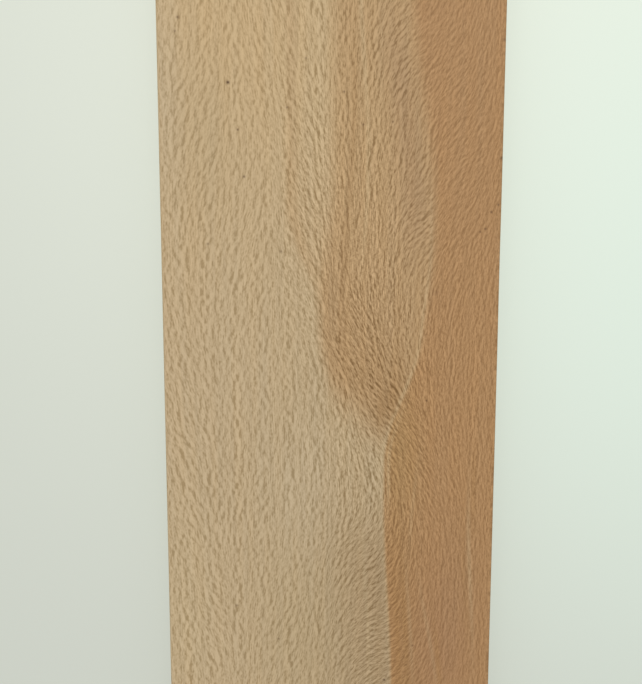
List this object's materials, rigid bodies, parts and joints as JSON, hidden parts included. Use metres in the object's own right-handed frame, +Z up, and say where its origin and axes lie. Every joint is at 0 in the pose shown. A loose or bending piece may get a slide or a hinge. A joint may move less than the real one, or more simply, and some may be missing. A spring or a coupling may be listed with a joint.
{
  "type": "timber plank",
  "caption": "Straight, flat hardwood plank of rectangular section, planed all round, with lightly eased long edges and square-cut ends.",
  "frame": {"origin": "middle of the broad face that the plank rests on", "axes": "+X along the plank, +Y across its width, +Z up through its thickness"},
  "size_m": [0.9144, 0.1016, 0.0191],
  "materials": {
    "wood": "planed, unfinished, matt"
  },
  "bodies": {
    "root": {"plank": "wood"}
  },
  "joints": []
}
